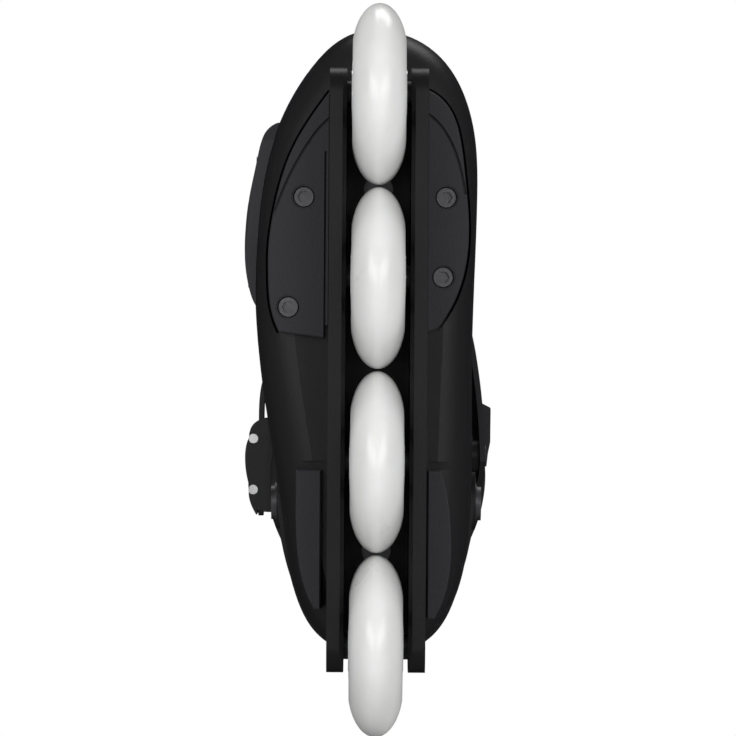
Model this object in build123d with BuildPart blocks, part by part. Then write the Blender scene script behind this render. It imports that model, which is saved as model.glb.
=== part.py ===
from build123d import *

import os
from collections import namedtuple

# Right inline skate: a boot shell moulded in one piece with its two frame rails, four wheels in a
# row, a hinged cuff, a padded liner and two ratchet buckles.
# Millimetres. +Z is up and the ground is z = 0. The toe points to -Y, and -X is the outer,
# little-toe side of the right foot. The origin is on the ground under the middle of the wheelbase.

# ---------------------------------------------------------------- driving sizes
wheel_count = 4
wheel_diameter = 80.0
wheel_width = 24.5
wheel_pitch = 81.0
wheel_shoulder_radius = 18.0  # radius at which the oval tread profile is at its full width

rail_gap = 28.4  # clear width of the wheel bay
rail_thickness = 7.5
rail_end_margin = 11.5  # rail past the end axles
rail_bottom_z = 27.0

shell_wall = 3.5
floor_thickness = 5.0
sole_z = 84.0  # underside of the moulded sole
bay_clearance = 3.5  # wheel to the roof of the bay

cuff_wall = 3.2
pivot_y = 62.0
pivot_z = 172.0
pivot_shaft_radius = 5.0
running_clearance = 0.05
rest_gap = 0.15  # between hard pieces that sit over a curved face

liner_gap = 0.6
liner_foot_pad = 6.0
liner_collar_pad = 10.0

plate_face_z = 78.5  # ground-side face of the sole plates
strap_width = 22.0
strap_thickness = 2.4

axle_z = wheel_diameter / 2
rail_inner_x = rail_gap / 2
rail_outer_x = rail_inner_x + rail_thickness
rail_half_length = wheel_pitch * (wheel_count - 1) / 2 + rail_end_margin
axle_ys = [wheel_pitch * (i - (wheel_count - 1) / 2) for i in range(wheel_count)]
sides = (-1, 1)  # outer side, inner side
FAR = 400.0  # longer than anything it cuts

# ---------------------------------------------------------------- boot levels
# One level is a closed outline at height z: the toe and heel ends along Y, and half-widths at four stations,
# outer and inner side of the foot apart.
Level = namedtuple("Level", "z toe heel ball_out ball_in waist_out waist_in heel_half")

shell_levels = [
    Level(84.0, -138.0, 119.0, 39.0, 31.0, 35.0, 29.0, 27.0),
    Level(88.0, -146.0, 126.5, 47.0, 38.0, 44.0, 36.0, 34.5),
    Level(96.0, -152.0, 131.5, 53.0, 43.0, 50.0, 41.0, 40.0),
    Level(108.0, -154.5, 134.0, 55.5, 45.0, 52.5, 43.0, 42.5),
    Level(122.0, -152.0, 134.0, 54.5, 44.5, 50.5, 43.0, 42.5),
    Level(136.0, -141.5, 132.0, 50.5, 42.5, 47.0, 42.0, 41.5),
    Level(147.0, -123.0, 129.0, 45.5, 39.5, 43.5, 40.5, 40.0),
    Level(157.0, -98.0, 126.5, 40.5, 36.5, 41.5, 39.5, 39.0),
    Level(168.0, -74.0, 124.0, 36.5, 34.0, 39.5, 38.5, 38.0),
    Level(181.0, -52.0, 121.5, 33.5, 32.0, 38.0, 37.5, 37.0),
    Level(196.0, -34.0, 119.5, 32.5, 31.5, 37.5, 37.0, 36.5),
    Level(212.0, -22.0, 118.0, 33.0, 32.0, 37.5, 37.0, 36.5),
]
cuff_levels = [
    Level(138.0, -30.0, 135.0, 44.5, 44.5, 46.0, 46.0, 40.0),
    Level(163.0, -30.0, 132.0, 44.5, 44.5, 46.0, 46.0, 40.0),
    Level(190.0, -30.0, 128.0, 44.5, 44.5, 45.8, 45.8, 42.0),
    Level(218.0, -28.0, 122.0, 45.0, 45.0, 46.5, 46.5, 44.0),
    Level(250.0, -26.0, 114.5, 46.0, 45.0, 49.5, 49.5, 46.0),
    Level(285.0, -26.0, 109.0, 48.0, 46.0, 52.5, 52.5, 49.0),
    Level(322.0, -28.0, 105.0, 49.5, 47.5, 54.5, 54.5, 51.0),
    Level(352.0, -30.0, 103.0, 50.0, 48.5, 55.0, 55.0, 52.0),
]


def boot_outline(level, inset_out=0.0, inset_in=None, lift=0.0):
    """A smooth closed outline of one level, drawn inset on the outer and inner side and lifted along Z."""
    inset_in = inset_out if inset_in is None else inset_in
    inset_ends = (inset_out + inset_in) / 2
    toe = level.toe + inset_ends
    heel = level.heel - inset_ends
    length = heel - toe

    def along(share):
        return toe + share * length

    ball_out = level.ball_out - inset_out
    ball_in = level.ball_in - inset_in
    waist_out = level.waist_out - inset_out
    waist_in = level.waist_in - inset_in
    heel_out = level.heel_half - inset_out
    heel_in = level.heel_half - inset_in
    points = [
        (1.0, toe),
        (0.74 * ball_in, along(0.065)),
        (0.965 * ball_in, along(0.16)),
        (ball_in, along(0.26)),
        (waist_in, along(0.52)),
        (heel_in, along(0.77)),
        (0.66 * heel_in, along(0.942)),
        (0.0, heel),
        (-0.66 * heel_out, along(0.942)),
        (-heel_out, along(0.77)),
        (-waist_out, along(0.55)),
        (-ball_out, along(0.33)),
        (-0.84 * ball_out, along(0.16)),
        (-0.565 * ball_out, along(0.062)),
    ]
    with BuildSketch(Plane.XY.offset(level.z + lift)) as outline:
        with BuildLine():
            Spline(*points, periodic=True)
        make_face()
    return outline.sketch


def boot_form(levels, inset_out=0.0, inset_in=None, lifts=None):
    """The solid through a stack of levels. lifts gives each level's rise or drop; none means no lift."""
    lifts = lifts or [0.0] * len(levels)
    with BuildPart() as form:
        loft([boot_outline(level, inset_out, inset_in, lift) for level, lift in zip(levels, lifts)])
    return form.part


def side_region(points, upward):
    """All space above (or below) a smooth line of the side view, points as (y, z) from front to back."""
    far_z = FAR if upward else -FAR
    with BuildPart() as region:
        with BuildSketch(Plane.YZ.offset(-FAR)):
            with BuildLine():
                Spline(*points)
                Polyline(points[-1], (points[-1][0], far_z), (points[0][0], far_z), points[0])
            make_face()
        extrude(amount=2 * FAR)
    return region.part


def side_polygon(points, x_from, x_to):
    """A straight-sided region of the side view, points as (y, z), extruded along X."""
    with BuildPart() as block:
        with BuildSketch(Plane.YZ.offset(x_from)):
            Polygon(*points, align=None)
        extrude(amount=x_to - x_from)
    return block.part


def box_between(low, high):
    """A plain box from its lowest to its highest corner."""
    with BuildPart() as block:
        with Locations([tuple((a + b) / 2 for a, b in zip(low, high))]):
            Box(*(b - a for a, b in zip(low, high)))
    return block.part


def bar_x(y, z, radius, x_from, x_to):
    """A round bar along X."""
    with BuildPart() as bar:
        with BuildSketch(Plane.YZ.offset(x_from)):
            with Locations((y, z)):
                Circle(radius)
        extrude(amount=x_to - x_from)
    return bar.part


def bar_z(x, y, radius, z_from, z_to):
    """A round bar along Z."""
    with BuildPart() as bar:
        with BuildSketch(Plane.XY.offset(z_from)):
            with Locations((x, y)):
                Circle(radius)
        extrude(amount=z_to - z_from)
    return bar.part


def save(name, piece):
    """Labels a finished piece and writes its STEP file."""
    piece.label = name
    export_step(piece, f"parts/{name}.step")


os.makedirs("parts", exist_ok=True)

# ---------------------------------------------------------------- wheels
hub_rim_radius = 24.0
hub_rim_inner = 19.5
hub_rim_half = 11.5
hub_ridge_radius = 27.0
hub_ridge_half = 4.0
hub_web_half = 3.5
hub_window_count = 8
hub_window_radius = 2.2
bearing_outer_radius = 11.0
bearing_bore_radius = 4.0
bearing_width = 7.0
spacer_length = 10.25
spacer_radius = 5.2
housing_radius = 14.2
ball_radius = 1.98
ball_pitch_radius = 7.5
ball_count = 7
groove_radius = 2.05
race_half_gap = 1.2  # from the ball circle to each race's land
shield_thickness = 0.3
shield_inset = 0.35
bearing_offset = (spacer_length + bearing_width) / 2
bearing_face_x = spacer_length / 2 + bearing_width
hub_shoulder_radius = 9.6


def axle_plane(y):
    """Local x is along the axle and local y is the radius."""
    return Plane(origin=(0, y, axle_z), x_dir=(1, 0, 0), z_dir=(0, -1, 0))


def turned(y, *rectangles):
    """A body of revolution about the axle at y, from rectangles (x_from, x_to, r_from, r_to)."""
    with BuildPart() as body:
        with BuildSketch(axle_plane(y)):
            for x_from, x_to, r_from, r_to in rectangles:
                with Locations(((x_from + x_to) / 2, (r_from + r_to) / 2)):
                    Rectangle(x_to - x_from, r_to - r_from)
        revolve(axis=Axis((0, y, axle_z), (1, 0, 0)))
    return body.part


def make_tyre(y):
    oval_height = wheel_diameter / 2 - wheel_shoulder_radius
    with BuildPart() as tyre:
        with BuildSketch(axle_plane(y)):
            with Locations((0, wheel_shoulder_radius)):
                Ellipse(wheel_width / 2, oval_height)
            with Locations((0, hub_rim_radius / 2)):
                Rectangle(2 * wheel_width, hub_rim_radius, mode=Mode.SUBTRACT)
            with Locations((0, (hub_rim_radius + hub_ridge_radius) / 2)):
                Rectangle(2 * hub_ridge_half, hub_ridge_radius - hub_rim_radius, mode=Mode.SUBTRACT)
            with Locations((0, -FAR / 2)):
                Rectangle(FAR, FAR, mode=Mode.SUBTRACT)
        revolve(axis=Axis((0, y, axle_z), (1, 0, 0)))
    return tyre.part


def make_hub(y):
    with BuildPart() as hub:
        add(
            turned(
                y,
                (-hub_rim_half, hub_rim_half, hub_rim_inner, hub_rim_radius),
                (-hub_ridge_half, hub_ridge_half, hub_rim_radius, hub_ridge_radius),
                (-hub_web_half, hub_web_half, housing_radius - 1, hub_rim_inner + 1),
                (-bearing_face_x + 0.2, bearing_face_x - 0.2, bearing_outer_radius, housing_radius),
                (-spacer_length / 2, spacer_length / 2, hub_shoulder_radius, bearing_outer_radius + 0.5),
            )
        )
        with BuildSketch(Plane.YZ.offset(-hub_web_half)):
            with Locations((y, axle_z)):
                with PolarLocations((housing_radius + hub_rim_inner) / 2, hub_window_count):
                    Circle(hub_window_radius)
        extrude(amount=2 * hub_web_half, mode=Mode.SUBTRACT)
    return hub.part


def make_ring(y, r_from, r_to):
    """One race of each of a wheel's two bearings, with its ball groove."""
    with BuildPart() as rings:
        for side in sides:
            with BuildSketch(axle_plane(y)):
                with Locations((side * bearing_offset, (r_from + r_to) / 2)):
                    Rectangle(bearing_width, r_to - r_from)
                with Locations((side * bearing_offset, ball_pitch_radius)):
                    Circle(groove_radius, mode=Mode.SUBTRACT)
            revolve(axis=Axis((0, y, axle_z), (1, 0, 0)))
    return rings.part


def make_balls(y):
    with BuildPart() as balls:
        for side in sides:
            plane = Plane(origin=(side * bearing_offset, y, axle_z), x_dir=(0, 1, 0), z_dir=(1, 0, 0))
            with Locations(plane):
                with PolarLocations(ball_pitch_radius, ball_count):
                    Sphere(ball_radius)
    return balls.part


def make_shields(y):
    """Two thin shields for each bearing, pressed in the outer race."""
    depth = bearing_width / 2 - shield_inset
    rings = []
    for side in sides:
        for face in sides:
            outer = side * bearing_offset + face * depth
            inner = outer - face * shield_thickness
            rings.append((min(outer, inner), max(outer, inner), inner_land + 0.2, outer_land))
    return turned(y, *rings)


inner_land = ball_pitch_radius - race_half_gap
outer_land = ball_pitch_radius + race_half_gap
for number, y in enumerate(axle_ys, start=1):
    save(f"wheel_{number}_tyre", make_tyre(y))
    save(f"wheel_{number}_hub", make_hub(y))
    save(f"wheel_{number}_bearing_outer_races", make_ring(y, outer_land, bearing_outer_radius))
    save(f"wheel_{number}_bearing_balls", make_balls(y))
    save(f"wheel_{number}_bearing_shields", make_shields(y))

# ---------------------------------------------------------------- axles
axle_radius = bearing_bore_radius - 0.02
axle_hole_radius = bearing_bore_radius + 0.05
axle_head_radius = 6.2
axle_head_height = 2.6
axle_recess_depth = 3.0
axle_recess_radius = axle_head_radius + 0.4
axle_screw_radius = 3.0
axle_screw_reach = 11.0
axle_thread_depth = 14.0
hex_key = 5.0  # across the flats
hex_depth = 1.8
boss_radius = 5.8
seat_x = rail_outer_x - axle_recess_depth


def hex_socket(plane, depth):
    """A hexagon pocket to cut, its mouth on the plane and going against its normal."""
    with BuildPart() as socket:
        with BuildSketch(plane):
            RegularPolygon(hex_key / 2, 6, major_radius=False)
        extrude(amount=-depth)
    return socket.part


def make_axle_bolts():
    """Sleeve bolts, heads on the outer side of the skate, tapped from the other end."""
    with BuildPart() as bolts:
        for y in axle_ys:
            head_x = -seat_x - axle_head_height
            add(bar_x(y, axle_z, axle_radius, -seat_x, seat_x - 0.5))
            add(bar_x(y, axle_z, axle_head_radius, head_x, -seat_x))
            add(bar_x(y, axle_z, axle_screw_radius, seat_x - axle_thread_depth, seat_x), mode=Mode.SUBTRACT)
            mouth = Plane(origin=(head_x, y, axle_z), x_dir=(0, 1, 0), z_dir=(-1, 0, 0))
            add(hex_socket(mouth, hex_depth), mode=Mode.SUBTRACT)
    return bolts.part


def make_axle_screws():
    with BuildPart() as screws:
        for y in axle_ys:
            head_x = seat_x + axle_head_height
            add(bar_x(y, axle_z, axle_screw_radius - 0.02, seat_x - axle_screw_reach, seat_x))
            add(bar_x(y, axle_z, axle_head_radius, seat_x, head_x))
            mouth = Plane(origin=(head_x, y, axle_z), x_dir=(0, 1, 0), z_dir=(1, 0, 0))
            add(hex_socket(mouth, hex_depth), mode=Mode.SUBTRACT)
    return screws.part


def make_on_each_axle(make_one):
    with BuildPart() as group:
        for y in axle_ys:
            add(make_one(y))
    return group.part


save("axle_bolts", make_axle_bolts())
save("axle_screws", make_axle_screws())
save("bearing_inner_races", make_on_each_axle(lambda y: make_ring(y, bearing_bore_radius, inner_land)))
spacer = (-spacer_length / 2, spacer_length / 2, bearing_bore_radius + 0.05, spacer_radius)
save("bearing_spacers", make_on_each_axle(lambda y: turned(y, spacer)))

# ---------------------------------------------------------------- shared by the shell and what it carries
front_screws_out = [(-33.5, -77.5), (-40.2, -28.0)]
front_screws_in = [(30.4, -77.5), (29.2, -41.8)]
rear_screws = [(-28.6, 62.0), (-28.6, 90.0), (27.3, 62.0), (27.3, 90.0)]
plate_screw_radius = 2.5
plate_screw_top_z = 88.4
plate_head_radius = 4.3
plate_head_height = 2.4
plate_recess_radius = 4.9
plate_recess_depth = 3.6
rear_plate_y = 44.8  # front end of the rear plates
rear_head_z = 89.7  # where the rear screws' heads sit in the shell floor
bay_bolt_ys = (-wheel_pitch, wheel_pitch)
bay_bolt_radius = 3.0
bay_bolt_head_radius = 6.5
bay_bolt_head_height = 3.0
bay_bolt_reach = 1.8  # into the footbed board
bay_roof_z = wheel_diameter + bay_clearance
floor_z = sole_z + floor_thickness
board_thickness = 4.8

boss_face_x = 42.2
boss_plate_radius = 11.0
nut_flange_radius = 7.5
nut_flange_thickness = 2.2
nut_flange_x = 35.2
nut_sleeve_radius = 4.5
pivot_thread_radius = 3.0
rivet_radius = 2.4
# y, z, head seat x, foot x
guard_rivets = [(-92.0, 113.0, -54.0, -48.4), (-42.0, 113.0, -57.4, -53.4)]
guard_head_height = 1.6
vamp_screws = [(-12.0, -91.0), (12.0, -91.0)]
vamp_screw_radius = 1.9
vamp_screw_foot_z = 156.0

# The instep strap runs in a slanted plane from its crest down to the inner side of the heel.
strap_crest = Vector(0, -43.0, 188.0)
strap_down = Vector(0, 0.839, -0.545)  # along each leg
strap_across = Vector(0, 0.545, 0.839)  # across the strap's width
strap_reach = 98.0
strap_rise = 3.8  # strap above the shell
anchor = strap_crest + strap_down * strap_reach
anchor_boss_radius = 7.5

# Front sole plates in plan: the curved outer edge from the toe end back, and the crescent line in
# the face. Their inner edge stands just off the rail.
plate_inner_x = rail_outer_x + 0.2
front_plate_out = [
    (-plate_inner_x, -125.2),
    (-30.0, -114.0),
    (-39.2, -97.9),
    (-44.6, -82.0),
    (-47.6, -68.2),
    (-49.2, -55.3),
    (-49.3, -42.0),
    (-48.3, -29.1),
    (-44.2, -16.8),
]
front_plate_in = [
    (plate_inner_x, -125.8),
    (32.4, -116.4),
    (37.1, -101.0),
    (38.9, -86.7),
    (40.3, -54.0),
    (36.0, -35.0),
    (26.0, -18.4),
]
crescent_out = [(-18.0, -115.6), (-22.0, -113.0), (-31.7, -101.7), (-42.2, -82.2), (-47.0, -69.5)]
crescent_in = [(17.0, -117.0), (22.5, -114.6), (31.6, -104.0), (37.1, -89.0), (39.0, -79.0)]
trench_half = 1.3
trench_depth = 1.5

# ---------------------------------------------------------------- ratchet buckles
buckle_back_x = -24.0
buckle_front_x = 22.0
buckle_base_thickness = 2.0
buckle_inner_half = 12.2
buckle_wall = 2.3
buckle_outer_half = buckle_inner_half + buckle_wall
buckle_wall_line = [
    (buckle_back_x, 0.0),
    (-23.0, 3.6),
    (-19.0, 7.4),
    (-13.0, 9.3),
    (0.0, 9.0),
    (12.0, 9.4),
    (18.5, 7.6),
    (21.6, 3.2),
    (buckle_front_x, 0.0),
]
buckle_pin_radius = 1.3
buckle_pin_z = 7.1
buckle_eye_radius = 2.3
buckle_head_rise = 0.8
lever_pin_x = 12.0
tab_pin_x = -13.0
buckle_rivet_x = -2.0
buckle_rivet_depth = 3.0  # into the wall under the base
buckle_rivet_head = 4.2
buckle_rivet_head_height = 1.0
ladder_z = buckle_base_thickness + 0.2

cuff_buckle_plane = Plane(origin=(-53.0, 46.0, 285.0), x_dir=(0, -1, 0), z_dir=(-1, 0, 0))
instep_buckle_plane = Plane(
    origin=(-36.5, -11.1, 167.3),
    x_dir=(0.3112, -0.7972, 0.5179),
    z_dir=(-0.9117, -0.0964, 0.3995),
)


def standing(plane):
    """The buckle's side view: local x along the strap, local y away from the boot."""
    return Plane(origin=plane.origin, x_dir=plane.x_dir, z_dir=-plane.y_dir)


def pin_bar(plane, x, radius, half):
    with BuildPart() as bar:
        with BuildSketch(standing(plane)):
            with Locations((x, buckle_pin_z)):
                Circle(radius)
        extrude(amount=half, both=True)
    return bar.part


def buckle_rivet(plane, clearance):
    """The rivet under the ladder strap that holds a base to the wall below."""
    top = buckle_base_thickness
    with BuildPart() as rivet:
        with BuildSketch(plane.offset(-buckle_rivet_depth)):
            with Locations((buckle_rivet_x, 0)):
                Circle(rivet_radius + clearance)
        extrude(amount=top + buckle_rivet_depth)
        with BuildSketch(plane.offset(top - buckle_rivet_head_height)):
            with Locations((buckle_rivet_x, 0)):
                Circle(buckle_rivet_head + clearance)
        extrude(amount=buckle_rivet_head_height)
    return rivet.part


def buckle_base(plane, plinth_depth, form_below):
    """A channel with two side walls. Its plinth goes down to the form below, if there is one."""
    with BuildPart() as base:
        with BuildSketch(plane.offset(-plinth_depth)):
            with Locations(((buckle_back_x + buckle_front_x) / 2, 0)):
                RectangleRounded(buckle_front_x - buckle_back_x, 2 * buckle_outer_half, 3)
        extrude(amount=plinth_depth + buckle_base_thickness)
        with BuildSketch(standing(plane)):
            with BuildLine():
                Spline(*buckle_wall_line)
                Line(buckle_wall_line[-1], buckle_wall_line[0])
            make_face()
        extrude(amount=buckle_outer_half, both=True)
        with BuildSketch(plane.offset(buckle_base_thickness)):
            Rectangle(100, 2 * buckle_inner_half)
        extrude(amount=20, mode=Mode.SUBTRACT)
        if form_below:
            add(form_below, mode=Mode.SUBTRACT)
        for x in (lever_pin_x, tab_pin_x):
            add(pin_bar(plane, x, buckle_pin_radius, 20), mode=Mode.SUBTRACT)
        add(buckle_rivet(plane, 0.0), mode=Mode.SUBTRACT)
    return base.part


def buckle_pins(plane):
    """Two pins with a button head outside each wall."""
    with BuildPart() as pins:
        for x in (lever_pin_x, tab_pin_x):
            add(pin_bar(plane, x, buckle_eye_radius, buckle_outer_half + buckle_head_rise))
            with BuildSketch(standing(plane)):
                with Locations((x, buckle_pin_z)):
                    Circle(buckle_pin_radius + 2)
                    Circle(buckle_pin_radius, mode=Mode.SUBTRACT)
            extrude(amount=buckle_outer_half, both=True, mode=Mode.SUBTRACT)
    return pins.part


def buckle_lever(plane):
    """The closing lever, an eye round its pin and a plate back over the ladder strap."""
    half = buckle_inner_half - 0.4
    with BuildPart() as lever:
        with BuildSketch(standing(plane)):
            with Locations((lever_pin_x, buckle_pin_z)):
                Circle(buckle_eye_radius)
            with BuildLine():
                Spline(
                    (lever_pin_x + 1, buckle_pin_z + 2.0),
                    (lever_pin_x - 4, buckle_pin_z + 3.7),
                    (lever_pin_x - 11, buckle_pin_z + 4.1),
                    (lever_pin_x - 17.5, buckle_pin_z + 3.4),
                    (lever_pin_x - 21.8, buckle_pin_z + 2.4),
                )
                Polyline(
                    (lever_pin_x - 21.8, buckle_pin_z + 2.4),
                    (lever_pin_x - 21.4, buckle_pin_z + 1.2),
                    (lever_pin_x - 12, buckle_pin_z + 1.4),
                    (lever_pin_x - 4.5, buckle_pin_z + 0.5),
                    (lever_pin_x - 1, buckle_pin_z - 2.0),
                    (lever_pin_x + 1, buckle_pin_z + 2.0),
                )
            make_face()
        extrude(amount=half, both=True)
        add(pin_bar(plane, lever_pin_x, buckle_pin_radius + running_clearance, 20), mode=Mode.SUBTRACT)
    return lever.part


def buckle_tab(plane):
    """The release tab behind the lever, with a pawl tooth toward the ladder strap."""
    half = buckle_inner_half - 0.4
    with BuildPart() as tab:
        with BuildSketch(standing(plane)):
            with Locations((tab_pin_x, buckle_pin_z)):
                Circle(buckle_eye_radius)
            with BuildLine():
                Spline(
                    (tab_pin_x - 0.6, buckle_pin_z + 2.2),
                    (tab_pin_x - 5, buckle_pin_z + 1.8),
                    (tab_pin_x - 9.5, buckle_pin_z + 0.1),
                    (tab_pin_x - 12.5, buckle_pin_z - 1.6),
                )
                Polyline(
                    (tab_pin_x - 12.5, buckle_pin_z - 1.6),
                    (tab_pin_x - 12, buckle_pin_z - 2.1),
                    (tab_pin_x - 6.5, buckle_pin_z - 1.6),
                    (tab_pin_x - 5.8, buckle_pin_z - 2.2),
                    (tab_pin_x - 4.8, buckle_pin_z - 2.2),
                    (tab_pin_x - 4.4, buckle_pin_z - 1.5),
                    (tab_pin_x - 0.6, buckle_pin_z - 2.0),
                    (tab_pin_x - 0.6, buckle_pin_z + 2.2),
                )
            make_face()
        extrude(amount=half, both=True)
        add(pin_bar(plane, tab_pin_x, buckle_pin_radius + running_clearance, 20), mode=Mode.SUBTRACT)
    return tab.part


def ladder_teeth(plane, x_from, x_to):
    """Cross grooves in the ladder strap's outer face, where it passes the buckle."""
    pitch = 3.0
    count = int((x_to - x_from) / pitch)
    with BuildPart() as grooves:
        with BuildSketch(plane.offset(ladder_z + strap_thickness - 0.9)):
            for i in range(count):
                with Locations((x_from + (i + 0.5) * pitch, 0)):
                    Rectangle(1.3, strap_width - 8)
        extrude(amount=2)
    return grooves.part


def ladder_tongue(plane, x_to):
    """The flat free end of a ladder strap, through the buckle."""
    tail_x = buckle_back_x - 2
    with BuildPart() as tongue:
        with BuildSketch(plane.offset(ladder_z)) as outline:
            with Locations(((tail_x + x_to) / 2, 0)):
                Rectangle(x_to - tail_x, strap_width)
            fillet(outline.vertices().filter_by_position(Axis.X, tail_x - 1, tail_x + 1), 6)
        extrude(amount=strap_thickness)
        add(ladder_teeth(plane, tail_x + 6, x_to - 6), mode=Mode.SUBTRACT)
    return tongue.part


# ---------------------------------------------------------------- shell with its rails
widest_level = 3
levels_above = len(shell_levels) - widest_level - 1
inner_lifts = [floor_thickness] * widest_level + [0.0] + [-shell_wall] * levels_above
trench_lifts = [trench_depth] * widest_level + [0.0] * (levels_above + 1)
throat_half = 21.0
throat_toe_y = -84.0
throat_end_y = 30.0
rim_line = [
    (-200, 230),
    (-70, 205),
    (-20, 192),
    (20, 190),
    (48, 191),
    (62, 190),
    (80, 186),
    (100, 178),
    (150, 172),
]
rear_rail_lean = 14.0


def boot_skin(offset):
    """The shell's outer form grown by an offset, measured square to the slope of the instep."""
    return boot_form(shell_levels, -offset, lifts=[offset / 2] * len(shell_levels))


shell_outer = boot_form(shell_levels)
shell_shadow = boot_form(shell_levels, -rest_gap)
strap_inner_skin = boot_skin(strap_rise)
strap_outer_skin = boot_skin(strap_rise + strap_thickness)
trench_bed = boot_form(shell_levels, trench_depth, lifts=trench_lifts)


def make_rails():
    with BuildPart() as rails:
        for side in sides:
            with BuildSketch(Plane.YZ.offset(side * rail_inner_x)) as outline:
                with BuildLine():
                    Polyline(
                        (-rail_half_length, rail_bottom_z),
                        (rail_half_length, rail_bottom_z),
                        (rail_half_length, axle_z + 14),
                        (rail_half_length - rear_rail_lean, sole_z + 5),
                        (-rail_half_length + 4, sole_z + 5),
                        (-rail_half_length, axle_z + 14),
                        close=True,
                    )
                make_face()
                fillet(outline.vertices().group_by(Axis.Y)[0], 11)
                fillet(outline.vertices().group_by(Axis.Y)[1], 8)
            extrude(amount=side * rail_thickness)
    with BuildPart() as bevels:
        for side in sides:
            with BuildSketch(Plane.XZ.offset(-rail_half_length)):
                tip = side * rail_inner_x
                Polygon(
                    (tip, rail_bottom_z - 1),
                    (tip + side * 2.8, rail_bottom_z - 1),
                    (tip, rail_bottom_z + 1.8),
                    align=None,
                )
            extrude(amount=2 * rail_half_length)
    with BuildPart() as finished:
        add(rails.part)
        add(bevels.part, mode=Mode.SUBTRACT)
    return finished.part


def rail_pockets():
    """Shallow recesses in the rails' outer faces, one between each two axles."""
    with BuildPart() as pockets:
        for side in sides:
            for y in axle_ys[:-1]:
                middle = y + wheel_pitch / 2
                with BuildSketch(Plane.YZ.offset(side * rail_outer_x)) as pocket:
                    Polygon(
                        (middle - 25, axle_z - 5),
                        (middle + 25, axle_z - 5),
                        (middle + 32, axle_z + 24),
                        (middle - 32, axle_z + 24),
                        align=None,
                    )
                    fillet(pocket.vertices(), 5)
                extrude(amount=-side * 1.4)
    return pockets.part


def throat_cut():
    """The lacing opening over the instep, cut down through the top wall only."""
    with BuildPart() as cut:
        with BuildSketch(Plane.XY.offset(120)):
            with Locations((0, (throat_toe_y + throat_end_y) / 2)):
                RectangleRounded(2 * throat_half, throat_end_y - throat_toe_y, throat_half - 1)
            with Locations((0, throat_end_y)):
                Rectangle(2 * throat_half, 2 * throat_half)
        extrude(amount=FAR)
    return cut.part


def plate_trench(outline):
    """A narrow trench in the shell's skin along a front plate's curved edge."""
    with BuildPart() as trench:
        with BuildSketch(Plane.XY.offset(sole_z - 2)):
            with BuildLine() as edge:
                Spline(*outline)
            trace(edge.line, line_width=2 * trench_half)
        extrude(amount=22)
        add(trench_bed, mode=Mode.SUBTRACT)
    return trench.part


def anchor_boss():
    """The raised seat of the instep strap's fixed end, level with the strap's inner face."""
    with BuildPart() as boss:
        add(bar_x(anchor.Y, anchor.Z, anchor_boss_radius, 36, 60))
        add(strap_inner_skin, mode=Mode.INTERSECT)
    return boss.part


def make_shell_frame():
    with BuildPart() as shell:
        add(shell_outer)
        add(make_rails())
        add(box_between((-rail_inner_x - 1, -118, bay_roof_z), (rail_inner_x + 1, 112, sole_z + 3)))
        for side in sides:
            for y in axle_ys:
                add(bar_x(y, axle_z, boss_radius, side * bearing_face_x, side * (rail_inner_x + 1)))
            add(bar_x(pivot_y, pivot_z, boss_plate_radius, side * 30, side * boss_face_x))
        add(anchor_boss())

        add(boot_form(shell_levels, shell_wall, lifts=inner_lifts), mode=Mode.SUBTRACT)
        add(throat_cut(), mode=Mode.SUBTRACT)
        add(side_region(rim_line, upward=True), mode=Mode.SUBTRACT)
        add(rail_pockets(), mode=Mode.SUBTRACT)
        for outline in (front_plate_out, front_plate_in):
            add(plate_trench(outline), mode=Mode.SUBTRACT)
        for side in sides:
            near_x = side * (plate_inner_x + 1)
            low = (min(near_x, side * 37.0), 41.0, sole_z - 1)
            high = (max(near_x, side * 37.0), rear_plate_y, sole_z + 2.2)
            add(box_between(low, high), mode=Mode.SUBTRACT)

        for y in axle_ys:
            hole = bar_x(y, axle_z, axle_hole_radius, -rail_outer_x, rail_outer_x)
            add(hole, mode=Mode.SUBTRACT)
            for side in sides:
                mouth_x = side * (rail_outer_x + 1)
                recess = bar_x(y, axle_z, axle_recess_radius, side * seat_x, mouth_x)
                add(recess, mode=Mode.SUBTRACT)
        for side in sides:
            flange_end = side * (nut_flange_x + nut_flange_thickness)
            sleeve = bar_x(pivot_y, pivot_z, nut_sleeve_radius, side * 25, side * 60)
            add(sleeve, mode=Mode.SUBTRACT)
            flange = bar_x(pivot_y, pivot_z, nut_flange_radius + 0.3, side * 25, flange_end)
            add(flange, mode=Mode.SUBTRACT)
        add(bar_x(anchor.Y, anchor.Z, rivet_radius, 39.5, 60), mode=Mode.SUBTRACT)
        for x, y in front_screws_out + front_screws_in:
            hole = bar_z(x, y, plate_screw_radius, sole_z - 2, plate_screw_top_z)
            add(hole, mode=Mode.SUBTRACT)
        for x, y in rear_screws:
            add(bar_z(x, y, plate_screw_radius, sole_z - 2, floor_z + 4), mode=Mode.SUBTRACT)
            counterbore = bar_z(x, y, plate_head_radius + 0.3, rear_head_z, floor_z + 8)
            add(counterbore, mode=Mode.SUBTRACT)
        for y in bay_bolt_ys:
            add(bar_z(0, y, bay_bolt_radius, 60, floor_z + 4), mode=Mode.SUBTRACT)
        for y, z, seat, foot in guard_rivets:
            add(bar_x(y, z, rivet_radius, seat, foot), mode=Mode.SUBTRACT)
        for x, y in vamp_screws:
            add(bar_z(x, y, vamp_screw_radius, vamp_screw_foot_z, 175), mode=Mode.SUBTRACT)
        add(buckle_rivet(instep_buckle_plane, 0.0), mode=Mode.SUBTRACT)
    return shell.part


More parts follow.
